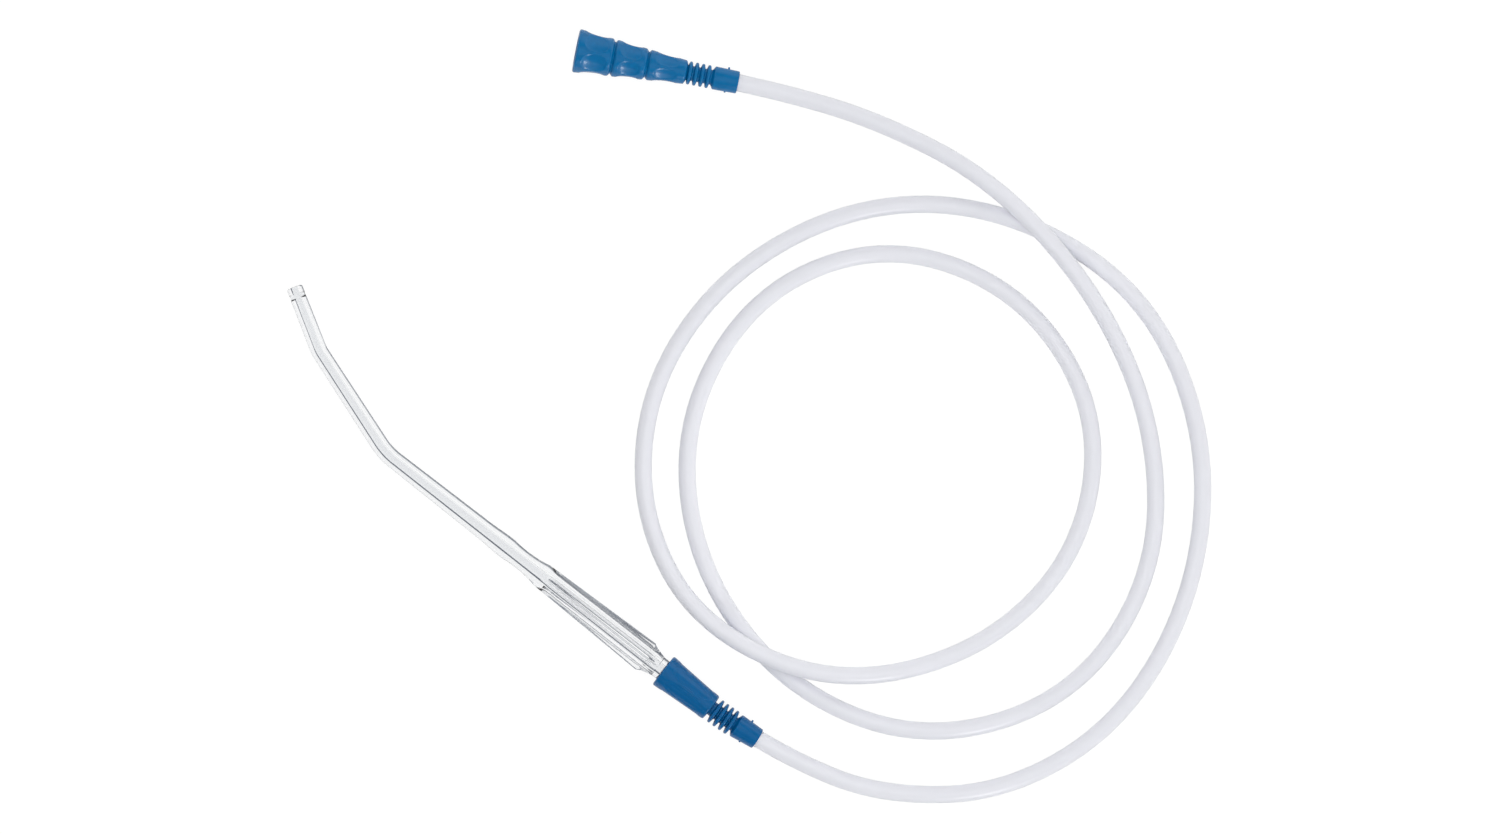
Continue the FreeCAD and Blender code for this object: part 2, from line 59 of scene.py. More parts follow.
# Suction tube: soft clear PVC, extruded 8.3 mm outside over a 5.6 mm bore. Its wall is hazy, so
# it looks pale with greyer edges. It is pushed into a collar at each end and lies in loose loops.
TUBE_RADIUS = 4.15
TUBE_BORE = 2.8
CROSSING_GAP = 0.6
LOW = TUBE_RADIUS
OVER = LOW + 2 * TUBE_RADIUS + CROSSING_GAP
# places along the tube's middle line in mm, from the handle connector to the source connector:
# it rests on the table at LOW and rides over itself at OVER
TUBE_ROUTE = [
    (144.67, -14.20, 8.42),
    (172.49, -11.63, 6.53),
    (219, 2, LOW),
    (265, 40, LOW),
    (288, 102, LOW),
    (276, 174, LOW),
    (234, 235, LOW),
    (168, 270, LOW),
    (93, 261, LOW),
    (37, 222, LOW),
    (6, 158, LOW),
    (8, 91, LOW),
    (42, 38, LOW),
    (98, 12, OVER),
    (168, 29, OVER),
    (214, 86, LOW),
    (222, 153, LOW),
    (188, 211, LOW),
    (123, 234, LOW),
    (57, 213, LOW),
    (22, 155, LOW),
    (32, 84, LOW),
    (81, 33, LOW),
    (152, 14, LOW),
    (220, 35, LOW),
    (262, 95, LOW),
    (257, 166, LOW),
    (213, 222, LOW),
    (150, 255, OVER),
    (79, 267, OVER),
    (18, 256, LOW),
    (-30.34, 236.86, 4.26),
    (-55.23, 224.17, 6.06),
]
LOOPS_SMOOTH = 10
TUBE_FACETS = 8
RIM_REACH = 0.02


def route_curve(name, bevel):
    """The tube's route as one NURBS spline, with a round section where bevel isn't 0."""
    data = bpy.data.curves.new(name, "CURVE")
    data.dimensions = "3D"
    spline = data.splines.new("NURBS")
    spline.points.add(len(TUBE_ROUTE) - 1)
    for point, place in zip(spline.points, TUBE_ROUTE):
        point.co = (*[value * MM for value in place], 1)
    spline.order_u = 3
    spline.use_endpoint_u = True
    spline.resolution_u = LOOPS_SMOOTH
    data.bevel_depth = bevel * MM
    data.bevel_resolution = TUBE_FACETS
    return bpy.data.objects.new(name, data)


def evaluated(source):
    """The mesh that an object makes once its curve or modifiers are worked out."""
    bpy.context.collection.objects.link(source)
    graph = bpy.context.evaluated_depsgraph_get()
    mesh = bpy.data.meshes.new_from_object(source.evaluated_get(graph))
    bpy.data.objects.remove(source)
    return mesh


def piece(name, mesh, material, smooth_up_to=35):
    """A finished piece from a bmesh: one object at the origin, smooth but for its hard edges."""
    data = bpy.data.meshes.new(name)
    mesh.to_mesh(data)
    mesh.free()
    data.shade_smooth()
    data.set_sharp_from_angle(angle=math.radians(smooth_up_to))
    data.materials.append(material)
    made = bpy.data.objects.new(name, data)
    bpy.context.collection.objects.link(made)
    return made


def colour(code):
    """An sRGB hex value as linear RGBA."""
    channels = [int(code[i : i + 2], 16) / 255 for i in (1, 3, 5)]
    return [c / 12.92 if c <= 0.04045 else ((c + 0.055) / 1.055) ** 2.4 for c in channels] + [1]


def new_material(name):
    """A material with its node tree and its surface shader."""
    material = bpy.data.materials.new(name)
    material.use_nodes = True
    return material, material.node_tree, material.node_tree.nodes["Principled BSDF"]


def add_node(tree, kind, settings, **links):
    """Adds a node; settings go to its sockets or properties, links join sockets to outputs."""
    node = tree.nodes.new(kind)
    for key, value in settings.items():
        if key in node.inputs:
            node.inputs[key].default_value = value
        else:
            setattr(node, key, value)
    for key, output in links.items():
        tree.links.new(output, node.inputs[key.replace("_", " ")])
    return node


# Extruded soft PVC has no colour of its own, but its haze scatters light, so the tube looks milky
# and pale, a little greyer at its edges. The die leaves faint waves about 6 mm long in the gloss.
DIE_WAVES = 6.0
tube_pvc, tree, shader = new_material("clear_soft_pvc")
shader.inputs["Base Color"].default_value = colour("#F0F1F9")
shader.inputs["Roughness"].default_value = 0.3
shader.inputs["IOR"].default_value = 1.5
shader.inputs["Transmission Weight"].default_value = 0.12
shader.inputs["Subsurface Weight"].default_value = 0.35
shader.inputs["Subsurface Radius"].default_value = (1.0, 1.0, 1.0)
shader.inputs["Subsurface Scale"].default_value = 3 * MM
place = add_node(tree, "ShaderNodeTexCoord", {})
waves = add_node(
    tree,
    "ShaderNodeTexNoise",
    {"Scale": 1 / (DIE_WAVES * MM), "Detail": 3.0, "Roughness": 0.5},
    Vector=place.outputs["Object"],
)
ripple = add_node(
    tree, "ShaderNodeBump", {"Strength": 0.06, "Distance": 0.2 * MM}, Height=waves.outputs["Fac"]
)
tree.links.new(ripple.outputs["Normal"], shader.inputs["Normal"])

# The wall is a bore inside an outside, joined at both ends by a flat cut rim.
line = evaluated(route_curve("tube_line", 0))
tube_path = [vertex.co.copy() for vertex in line.vertices]
tube_mesh = bmesh.new()
tube_mesh.from_mesh(evaluated(route_curve("tube_bore", TUBE_BORE)))
bmesh.ops.reverse_faces(tube_mesh, faces=tube_mesh.faces)
tube_mesh.from_mesh(evaluated(route_curve("tube_outside", TUBE_RADIUS)))
open_rims = [edge for edge in tube_mesh.edges if edge.is_boundary]
far_rims = [e for e in open_rims if (e.verts[0].co - tube_path[0]).length > RIM_REACH]
near_rims = [e for e in open_rims if (e.verts[0].co - tube_path[0]).length <= RIM_REACH]
for rims in (near_rims, far_rims):
    bmesh.ops.bridge_loops(tube_mesh, edges=rims)
suction_tube = piece("clear_suction_tube", tube_mesh, tube_pvc)
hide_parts("suction_tube")
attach(suction_tube, "root")

# Source connector: one soft PVC moulding in a lighter blue, about 79 mm long. Three tapered
# steps fit outlets of three sizes, each with six finger dimples, and four bellows rings let the
# collar bend. The outlet goes into its mouth and the tube is pushed into its collar.
SOURCE_MOUTH = (-116.63, 192.89)
SOURCE_HEADING = math.radians(27.0)
SOURCE_LENGTH = 79.05
MOUTH_RADIUS = 10.5
COLLAR_END = 5.4
EDGE = 0.6
NECK_ROOT, NECK_BORE = 3.6, 2.6
RINGS = 4
RING_PITCH = 3.0
RING_WIDTH = 2.8
LOBE_FOOT = 1.15
LOBE_SHOULDER = 0.62
FIT_GAP = 0.03
TUBE_SOCKET = TUBE_RADIUS + FIT_GAP
TUBE_GRIP = 10.0
BORE_ONE, BORE_TWO, BORE_THREE = 7.0, 5.5, 4.25
BORE_ONE_END, BORE_TWO_END, BORE_THREE_END = 15.0, 30.5, 49.0
# corners of the outline in mm: distance from the mouth, radius, rounding
SOURCE_STEPS = [
    (0.0, 9.9, 0.25),
    (0.6, 10.5, 0.25),
    (16.8, 9.1, 0.45),
    (17.9, 7.6, 0.3),
    (19.0, 8.95, 0.45),
    (33.5, 7.6, 0.45),
    (34.6, 6.1, 0.3),
    (35.7, 7.4, 0.45),
    (53.3, 5.75, 0.4),
]
SOURCE_RINGS_START = 54.0
SOURCE_RING_CREST = 5.6
SOURCE_COLLAR = [
    (66.15, NECK_ROOT, 0.25),
    (67.35, 5.6, 0.3),
    (78.75, COLLAR_END, 0.15),
    (SOURCE_LENGTH, 5.1, 0.1),
    (SOURCE_LENGTH, TUBE_SOCKET, 0.1),
    (SOURCE_LENGTH - TUBE_GRIP, TUBE_SOCKET, 0.1),
    (SOURCE_LENGTH - TUBE_GRIP, NECK_BORE, 0.1),
    (BORE_THREE_END, NECK_BORE, 0.1),
    (BORE_THREE_END, BORE_THREE, 0.2),
    (BORE_TWO_END, BORE_THREE, 0.2),
    (BORE_TWO_END, BORE_TWO, 0.2),
    (BORE_ONE_END, BORE_TWO, 0.2),
    (BORE_ONE_END, BORE_ONE, 0.2),
    (0.0, BORE_ONE, 0.3),
]
# each ring of dimples: middle along the piece, half length, half width in degrees, depth, share
# of it that slopes, and a radius between the bore and the skin that is pressed
SOURCE_DIMPLES = [
    (9.3, 6.0, 27.0, 0.75, 0.9, 8.0),
    (26.3, 5.2, 26.5, 0.7, 0.9, 6.6),
    (43.9, 5.6, 25.0, 0.6, 0.9, 5.0),
]
DIMPLES_ROUND = 6
DIMPLE_SQUARENESS = 2.4
DIMPLE_RIM = 0.6
MOULDING_STEPS = 180
MOULDING_GRAIN = 0.3
NUB_RADIUS, NUB_TOP, NUB_SINK = 0.65, 0.35, 0.5
NUB_HEIGHTS = (0.9, 0.45)
NUB_SIDES = (0.0, math.pi)
SOURCE_NUB_FROM_END, SOURCE_NUB_LEVEL = 5.4, 5.0


def bellows(start, crest):
    """The corners of the bellows rings, each a rounded lobe on the neck."""
    corners = []
    for i in range(RINGS):
        middle = start + RING_PITCH * i + RING_WIDTH / 2
        corners += [
            (middle - LOBE_FOOT, NECK_ROOT, 0.2),
            (middle - LOBE_SHOULDER, crest, 0.5),
            (middle + LOBE_SHOULDER, crest, 0.5),
            (middle + LOBE_FOOT, NECK_ROOT, 0.2),
        ]
    return corners


def turned(corners, steps, zones):
    """A closed outline of (along, radius, rounding) corners turned about X, all in mm.

    A zone is (start, end, grain): there the outline is divided along its length, for what
    presses, raises or bends the skin afterwards.
    """
    mesh = bmesh.new()
    ring = [mesh.verts.new((along, radius, 0)) for along, radius, rounding in corners]
    for a, b in zip(ring, ring[1:] + ring[:1]):
        mesh.edges.new((a, b))
    for size in sorted({rounding for along, radius, rounding in corners if rounding}):
        sharp = [v for v, corner in zip(ring, corners) if corner[2] == size]
        bmesh.ops.bevel(
            mesh,
            geom=sharp,
            offset=size,
            offset_type="OFFSET",
            affect="VERTICES",
            segments=4,
            profile=0.5,
            material=-1,
        )
    for edge in list(mesh.edges):
        middle = (edge.verts[0].co.x + edge.verts[1].co.x) / 2
        grain = min((g for start, end, g in zones if start <= middle <= end), default=math.inf)
        cuts = math.ceil(edge.calc_length() / grain) - 1
        if cuts > 0:
            bmesh.ops.subdivide_edges(mesh, edges=[edge], cuts=cuts)
    bmesh.ops.spin(
        mesh,
        geom=mesh.verts[:] + mesh.edges[:],
        axis=(1, 0, 0),
        cent=(0, 0, 0),
        angle=2 * math.pi,
        steps=steps,
        use_merge=True,
    )
    bmesh.ops.remove_doubles(mesh, verts=mesh.verts, dist=1e-5)
    bmesh.ops.recalc_face_normals(mesh, faces=mesh.faces)
    return mesh


def press_dimples(mesh, dimples):
    """Presses rings of oval bowls with crisp rims into a turned skin."""
    sector = 2 * math.pi / DIMPLES_ROUND
    for vertex in mesh.verts:
        radius = math.hypot(vertex.co.y, vertex.co.z)
        angle = math.atan2(vertex.co.z, vertex.co.y)
        off = (angle + sector / 2) % sector - sector / 2
        for middle, half_length, half_width, depth, slope, skin in dimples:
            along = abs(vertex.co.x - middle) / half_length
            around = abs(off) / math.radians(half_width)
            out = along**DIMPLE_SQUARENESS + around**DIMPLE_SQUARENESS
            out **= 1 / DIMPLE_SQUARENESS
            if out < 1 and radius > skin:
                inwards = min((1 - out) / slope, 1)
                sunk = depth * (1 - (1 - inwards) ** 2) ** DIMPLE_RIM
                vertex.co.yz = vertex.co.yz * ((radius - sunk) / radius)


def add_nubs(mesh, along, level):
    """Two small cones on opposite sides of a collar, the taller one towards +Y."""
    for side, proud in zip(NUB_SIDES, NUB_HEIGHTS):
        height = NUB_SINK + proud
        turn = Matrix.Rotation(side - math.pi / 2, 4, "X")
        outwards = Matrix.Translation((0, 0, level + height / 2))
        bmesh.ops.create_cone(
            mesh,
            cap_ends=True,
            segments=24,
            radius1=NUB_RADIUS,
            radius2=NUB_TOP,
            depth=height,
            matrix=Matrix.Translation((along, 0, 0)) @ turn @ outwards,
        )


# Injection-moulded soft PVC is satin, with pigment clouds a few millimetres across that hardly
# show. The mould's eroded skin leaves a grain of 0.1 mm, drawn at 0.4 mm so that it can be seen.
PIGMENT_CLOUDS = 3.0
MOULD_GRAIN = 0.4


def soft_blue(name, shade, light):
    """Soft PVC in one blue: its colour in the clouds and between them."""
    material, tree, shader = new_material(name)
    place = add_node(tree, "ShaderNodeTexCoord", {})
    clouds = add_node(
        tree,
        "ShaderNodeTexNoise",
        {"Scale": 1 / (PIGMENT_CLOUDS * MM), "Detail": 4.0, "Roughness": 0.55},
        Vector=place.outputs["Object"],
    )
    pigment = add_node(tree, "ShaderNodeValToRGB", {}, Fac=clouds.outputs["Fac"])
    pigment.color_ramp.elements[0].position = 0.3
    pigment.color_ramp.elements[0].color = colour(shade)
    pigment.color_ramp.elements[1].position = 0.7
    pigment.color_ramp.elements[1].color = colour(light)
    tree.links.new(pigment.outputs["Color"], shader.inputs["Base Color"])
    grain = add_node(
        tree,
        "ShaderNodeTexNoise",
        {"Scale": 1 / (MOULD_GRAIN * MM), "Detail": 2.0},
        Vector=place.outputs["Object"],
    )
    satin = add_node(
        tree,
        "ShaderNodeBump",
        {"Strength": 0.12, "Distance": 0.1 * MM},
        Height=grain.outputs["Fac"],
    )
    tree.links.new(satin.outputs["Normal"], shader.inputs["Normal"])
    shader.inputs["Roughness"].default_value = 0.24
    shader.inputs["IOR"].default_value = 1.53
    shader.inputs["Specular IOR Level"].default_value = 0.33
    shader.inputs["Subsurface Weight"].default_value = 0.1
    shader.inputs["Subsurface Radius"].default_value = (0.2, 0.6, 1.0)
    shader.inputs["Subsurface Scale"].default_value = 1.5 * MM
    return material


source_tilt = math.asin((MOUTH_RADIUS - COLLAR_END) / SOURCE_LENGTH)
source_lift = MOUTH_RADIUS * math.cos(source_tilt) + EDGE * math.sin(source_tilt)
source_place = (
    Matrix.Translation(Vector((*SOURCE_MOUTH, source_lift)) * MM)
    @ Matrix.Rotation(SOURCE_HEADING, 4, "Z")
    @ Matrix.Rotation(source_tilt, 4, "Y")
    @ Matrix.Scale(MM, 4)
)
light_blue = soft_blue("light_blue_soft_pvc", "#00649A", "#0068A0")
mesh = turned(
    SOURCE_STEPS + bellows(SOURCE_RINGS_START, SOURCE_RING_CREST) + SOURCE_COLLAR,
    MOULDING_STEPS,
    [(EDGE, SOURCE_STEPS[-1][0], MOULDING_GRAIN)],
)
press_dimples(mesh, SOURCE_DIMPLES)
add_nubs(mesh, SOURCE_LENGTH - SOURCE_NUB_FROM_END, SOURCE_NUB_LEVEL)
bmesh.ops.transform(mesh, matrix=source_place, verts=mesh.verts)
source_connector = piece("stepped_source_connector", mesh, light_blue)
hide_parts("source_connector")
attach(source_connector, "root")

# Handle connector: one soft PVC moulding in a deeper blue. A tapered sleeve with six long shallow
# dimples holds the handle's spigot, four bellows rings bend a little as it lies, and a collar
# takes the tube.
HAND_MOUTH = (98.77, -15.11)
HAND_TILT = math.radians(1.0445)
HAND_MOUTH_RADIUS = 8.45
SPIGOT_RADIUS = 5.2
SPIGOT_SOCKET = SPIGOT_RADIUS + FIT_GAP
SPIGOT_DEPTH = 20.0
NECK_START = 29.2
NECK_LENGTH = 13.55
NECK_BEND = math.radians(7.2)
NECK_ROLL = math.radians(43.0)
HAND_RINGS_START = 30.6
HAND_RING_CREST = 6.4
HAND_COLLAR = NECK_START + NECK_LENGTH
HAND_END = HAND_COLLAR + 13.2
HAND_OUTLINE = (
    [
        (0.0, 7.85, 0.2),
        (0.6, HAND_MOUTH_RADIUS, 0.25),
        (28.6, 6.75, 0.4),
        (NECK_START, 6.15, 0.3),
        (29.4, NECK_ROOT, 0.15),
    ]
    + bellows(HAND_RINGS_START, HAND_RING_CREST)
    + [
        (HAND_COLLAR, NECK_ROOT, 0.25),
        (HAND_COLLAR + 1.2, 5.9, 0.3),
        (HAND_COLLAR + 12.9, 5.2, 0.15),
        (HAND_END, 4.9, 0.1),
        (HAND_END, TUBE_SOCKET, 0.1),
        (HAND_END - TUBE_GRIP, TUBE_SOCKET, 0.1),
        (HAND_END - TUBE_GRIP, NECK_BORE, 0.1),
        (SPIGOT_DEPTH, NECK_BORE, 0.1),
        (SPIGOT_DEPTH, SPIGOT_SOCKET, 0.1),
        (0.0, SPIGOT_SOCKET, 0.2),
    ]
)
HAND_DIMPLES = [(15.4, 11.2, 26.0, 0.22, 0.13, 6.0)]
HAND_NUB_FROM_COLLAR, HAND_NUB_LEVEL = 6.6, 5.05


def bend_neck(mesh):
    """Bends a straight connector over the length of its neck."""
    radius = NECK_LENGTH / NECK_BEND
    roll = Matrix.Rotation(-NECK_ROLL, 4, "X")
    for vertex in mesh.verts:
        past = vertex.co.x - NECK_START
        if past <= 0:
            continue
        bent = min(past / NECK_LENGTH, 1) * NECK_BEND
        middle = Vector((NECK_START + radius * math.sin(bent), radius * (1 - math.cos(bent)), 0))
        section = roll.inverted() @ Vector((0, vertex.co.y, vertex.co.z))
        section.x = max(past - NECK_LENGTH, 0)
        vertex.co = roll @ (middle + Matrix.Rotation(bent, 4, "Z") @ section)


hand_lift = HAND_MOUTH_RADIUS * math.cos(HAND_TILT) - EDGE * math.sin(HAND_TILT)
hand_place = (
    Matrix.Translation(Vector((*HAND_MOUTH, hand_lift)) * MM)
    @ Matrix.Rotation(-HAND_TILT, 4, "Y")
    @ Matrix.Scale(MM, 4)
)
deep_blue = soft_blue("deep_blue_soft_pvc", "#00588E", "#005B94")
mesh = turned(HAND_OUTLINE, MOULDING_STEPS, [(EDGE, HAND_COLLAR, MOULDING_GRAIN)])
press_dimples(mesh, HAND_DIMPLES)
add_nubs(mesh, HAND_COLLAR + HAND_NUB_FROM_COLLAR, HAND_NUB_LEVEL)
bend_neck(mesh)
bmesh.ops.transform(mesh, matrix=hand_place, verts=mesh.verts)
handle_connector = piece("blue_handle_connector", mesh, deep_blue)
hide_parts("handle_connector")
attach(handle_connector, "root")

# Suction handle: one rigid moulding of clear polystyrene, polished. Its middle line is modelled
# straight first, with four fins raised on the grip, and is then bent at its two bends.
SHAFT_END = 183.31
MID_BEND, MID_RADIUS = math.radians(19.0), 34.0
TIP_BEND, TIP_RADIUS = math.radians(11.7), 20.0
MID_ARC = MID_RADIUS * MID_BEND
TIP_ARC = TIP_RADIUS * TIP_BEND
MID_RUN = 50.762
TIP_RUN = 30.551
MID_RUN_START = SHAFT_END + MID_ARC
TIP_ARC_START = MID_RUN_START + MID_RUN
TIP_RUN_START = TIP_ARC_START + TIP_ARC
HANDLE_END = TIP_RUN_START + TIP_RUN
CORE_RADIUS, FLARE_RADIUS, BUMP_RADIUS = 4.95, 6.2, 5.35
MID_OUTER, TIP_OUTER = 4.25, 4.0
MID_LUMEN, TIP_LUMEN = 1.8, 1.7
GRIP_START, FLARE_START, GRIP_END = 23.0, 85.0, 92.5
WAIST_START, WAIST_END = (93.5, FLARE_RADIUS), (114.2, BUMP_RADIUS)
WAIST_CURVE = 60.0
WAIST_POINTS = 16
# top of the fins in mm: distance from the spigot's free end, radius
FIN_PROFILE = [(GRIP_START, SPIGOT_RADIUS), (28.2, 6.6), (30.8, 7.9), (GRIP_END, FLARE_RADIUS)]
EYE_RADIUS, EYE_FROM_END = 1.5, 4.7


def waist():
    """Points on the hollow arc of the waist, between its two ends."""
    start, end = Vector(WAIST_START), Vector(WAIST_END)
    chord = end - start
    across = Vector((-chord.y, chord.x)).normalized()
    centre = (start + end) / 2 + across * math.sqrt(WAIST_CURVE**2 - chord.length_squared / 4)
    row = []
    for i in range(1, WAIST_POINTS):
        along = start.x + chord.x * i / WAIST_POINTS
        row.append((along, centre.y - math.sqrt(WAIST_CURVE**2 - (along - centre.x) ** 2), 0))
    return row


HANDLE_OUTLINE = (
    [
        (0.0, 4.6, 0.2),
        (0.6, SPIGOT_RADIUS, 0.2),
        (GRIP_START, SPIGOT_RADIUS, 0.1),
        (23.2, CORE_RADIUS, 0),
        (31.0, CORE_RADIUS, 0),
        (FLARE_START, CORE_RADIUS, 0),
        (88.5, CORE_RADIUS, 1.5),
        (GRIP_END, FLARE_RADIUS, 0.8),
        (*WAIST_START, 0.3),
    ]
    + waist()
    + [
        (*WAIST_END, 0.8),
        (117.8, BUMP_RADIUS, 1.5),
        (126.0, 4.85, 1.5),
        (SHAFT_END, MID_OUTER, 0),
        (MID_RUN_START, MID_OUTER, 0),
        (TIP_ARC_START, TIP_OUTER, 0),
        (TIP_RUN_START, TIP_OUTER, 0),
        (HANDLE_END, 3.85, 0.9),
        (HANDLE_END, 1.6, 0.25),
        (TIP_RUN_START, TIP_LUMEN, 0),
        (TIP_ARC_START, TIP_LUMEN, 0),
        (MID_RUN_START, MID_LUMEN, 0),
        (SHAFT_END, MID_LUMEN, 0),
        (0.0, 2.3, 0.2),
    ]
)
FINS = 4
# a fin reaches its full section where it stands this far out of the core
FIN_RUN_IN = 0.25
# what lies inside this radius is the lumen's wall, which stays round
LUMEN_LIMIT = 3.0
# on each fin, from its middle outwards: offset on the bare round, offset on the fin, height
FIN_SECTION = [
    (0.0, 0.0, 1.0),
    (0.25, 0.25, 0.985),
    (0.5, 0.42, 0.94),
    (0.75, 0.58, 0.86),
    (1.0, 0.86, 0.62),
    (1.25, 1.14, 0.38),
    (1.5, 1.4, 0.17),
    (1.75, 1.66, 0.04),
    (2.0, 2.0, 0.0),
]
HANDLE_STEPS = 104
HANDLE_ZONES = [
    (23.2, 31.0, 0.4),
    (FLARE_START, WAIST_START[0], 0.35),
    (SHAFT_END, MID_RUN_START, 0.4),
    (TIP_ARC_START, TIP_RUN_START, 0.3),
]


def stepped(profile, along):
    """The height of a profile of straight runs, at a length along it."""
    for (x0, r0), (x1, r1) in zip(profile, profile[1:]):
        if x0 <= along <= x1:
            return r0 + (r1 - r0) * (along - x0) / (x1 - x0)
    return 0


def raise_fins(mesh):
    """Raises the fins out of the turned grip, with rounded tops and sloping sides."""
    per_fin = HANDLE_STEPS // FINS
    for vertex in mesh.verts:
        core = math.hypot(vertex.co.y, vertex.co.z)
        crest = stepped(FIN_PROFILE, vertex.co.x)
        if crest <= core or core < LUMEN_LIMIT:
            continue
        step = round(math.atan2(vertex.co.z, vertex.co.y) / (2 * math.pi) * HANDLE_STEPS)
        fin = round(step / per_fin)
        off = step - fin * per_fin
        if abs(off) < len(FIN_SECTION):
            bare, finned, height = FIN_SECTION[abs(off)]
            grown = min((crest - core) / FIN_RUN_IN, 1)
            offset = bare + (finned - bare) * grown
            root = math.sqrt(core**2 - offset**2)
            radial = root + (crest - root) * height * grown
            side = math.copysign(offset, off)
        else:
            last = math.asin(FIN_SECTION[-1][1] / core)
            share = (abs(off) - len(FIN_SECTION) + 1) / (per_fin / 2 - len(FIN_SECTION) + 1)
            angle = last + (math.pi / FINS - last) * share
            radial, side = core * math.cos(angle), math.copysign(core * math.sin(angle), off)
        turn = Matrix.Rotation(fin * 2 * math.pi / FINS, 3, "X")
        vertex.co = turn @ Vector((vertex.co.x, radial, side))


def bend_handle(mesh):
    """Bends the straight handle at its middle and near its tip, both times towards -Y."""
    bends = [
        (SHAFT_END, MID_ARC, MID_RADIUS, MID_BEND),
        (TIP_ARC_START, TIP_ARC, TIP_RADIUS, TIP_BEND),
    ]
    for vertex in mesh.verts:
        place = Matrix.Identity(4)
        done = 0.0
        for start, arc, radius, bend in bends:
            if vertex.co.x <= start:
                break
            bent = min((vertex.co.x - start) / arc, 1) * bend
            place = (
                place
                @ Matrix.Translation((start - done, -radius, 0))
                @ Matrix.Rotation(-bent, 4, "Z")
                @ Matrix.Translation((0, radius, 0))
            )
            done = min(vertex.co.x, start + arc)
        vertex.co = place @ Vector((vertex.co.x - done, vertex.co.y, vertex.co.z))


# Polystyrene from a polished mould is as clear as glass and bends light more, so its edges and
# its bore draw grey lines. Flow marks about 11 mm across make its gloss slightly uneven.
FLOW_MARKS = 11.0
polystyrene, tree, shader = new_material("clear_polystyrene")
shader.inputs["Base Color"].default_value = colour("#FAFBFC")
shader.inputs["IOR"].default_value = 1.59
shader.inputs["Transmission Weight"].default_value = 1.0
place = add_node(tree, "ShaderNodeTexCoord", {})
flow = add_node(
    tree,
    "ShaderNodeTexNoise",
    {"Scale": 1 / (FLOW_MARKS * MM), "Detail": 2.0},
    Vector=place.outputs["Object"],
)
haze = add_node(
    tree,
    "ShaderNodeMapRange",
    {"To Min": 0.03, "To Max": 0.1},
    Value=flow.outputs["Fac"],
)
tree.links.new(haze.outputs["Result"], shader.inputs["Roughness"])

mesh = turned(HANDLE_OUTLINE, HANDLE_STEPS, HANDLE_ZONES)
raise_fins(mesh)
blank_data = bpy.data.meshes.new("handle_blank")
mesh.to_mesh(blank_data)
mesh.free()
blank = bpy.data.objects.new("handle_blank", blank_data)
drill_mesh = bmesh.new()
eye_place = Matrix.Translation((HANDLE_END - EYE_FROM_END, 0, 0))
bmesh.ops.create_cone(
    drill_mesh,
    cap_ends=True,
    segments=48,
    radius1=EYE_RADIUS,
    radius2=EYE_RADIUS,
    depth=3 * TIP_OUTER,
    matrix=eye_place @ Matrix.Rotation(math.pi / 2, 4, "X"),
)
drill_data = bpy.data.meshes.new("eye_drill")
drill_mesh.to_mesh(drill_data)
drill_mesh.free()
drill = bpy.data.objects.new("eye_drill", drill_data)
bpy.context.collection.objects.link(drill)
eyes = blank.modifiers.new("eyes", "BOOLEAN")
eyes.operation = "DIFFERENCE"
eyes.solver = "EXACT"
eyes.object = drill
mesh = bmesh.new()
mesh.from_mesh(evaluated(blank))
bpy.data.objects.remove(drill)
bend_handle(mesh)
spigot_end = Matrix.Translation((SPIGOT_DEPTH, 0, 0))
handle_place = hand_place @ spigot_end @ Matrix.Rotation(math.pi, 4, "Z")
bmesh.ops.transform(mesh, matrix=handle_place, verts=mesh.verts)
suction_handle = piece("clear_suction_handle", mesh, polystyrene, smooth_up_to=30)
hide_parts("suction_handle")
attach(suction_handle, "root")

# Table and light: a white light table, seen plain white, in a studio whose lower left is dark.
# Clear plastic bends the view at its edges towards that side, through the table, which draws its
# grey lines. Bright strips at two sides of the grey ceiling give the blue mouldings pale edges.
TABLE_SIZE = 6.0
scene = bpy.context.scene
scene.view_settings.view_transform = "Standard"

table_mesh = bmesh.new()
bmesh.ops.create_grid(table_mesh, x_segments=1, y_segments=1, size=TABLE_SIZE / 2)
table_white, tree, shader = new_material("white_light_table")
shader.inputs["Base Color"].default_value = colour("#E8E8E8")
shader.inputs["Roughness"].default_value = 0.9
shader.inputs["Emission Color"].default_value = (1, 1, 1, 1)
shader.inputs["Emission Strength"].default_value = 0.08
ray = add_node(tree, "ShaderNodeLightPath", {})
faint = add_node(tree, "ShaderNodeBsdfDiffuse", {"Color": (0.12, 0.12, 0.12, 1)})
glow = add_node(tree, "ShaderNodeEmission", {"Color": (1, 1, 1, 1), "Strength": 0.92})
shown = add_node(tree, "ShaderNodeAddShader", {})
tree.links.new(faint.outputs["BSDF"], shown.inputs[0])
tree.links.new(glow.outputs["Emission"], shown.inputs[1])
through = add_node(tree, "ShaderNodeBsdfTransparent", {})
solid = add_node(tree, "ShaderNodeMixShader", {}, Fac=ray.outputs["Is Camera Ray"])
tree.links.new(shader.outputs["BSDF"], solid.inputs[1])
tree.links.new(shown.outputs["Shader"], solid.inputs[2])
choice = add_node(tree, "ShaderNodeMixShader", {}, Fac=ray.outputs["Is Transmission Ray"])
tree.links.new(solid.outputs["Shader"], choice.inputs[1])
tree.links.new(through.outputs["BSDF"], choice.inputs[2])
tree.links.new(choice.outputs["Shader"], tree.nodes["Material Output"].inputs["Surface"])
table = piece("table", table_mesh, table_white)

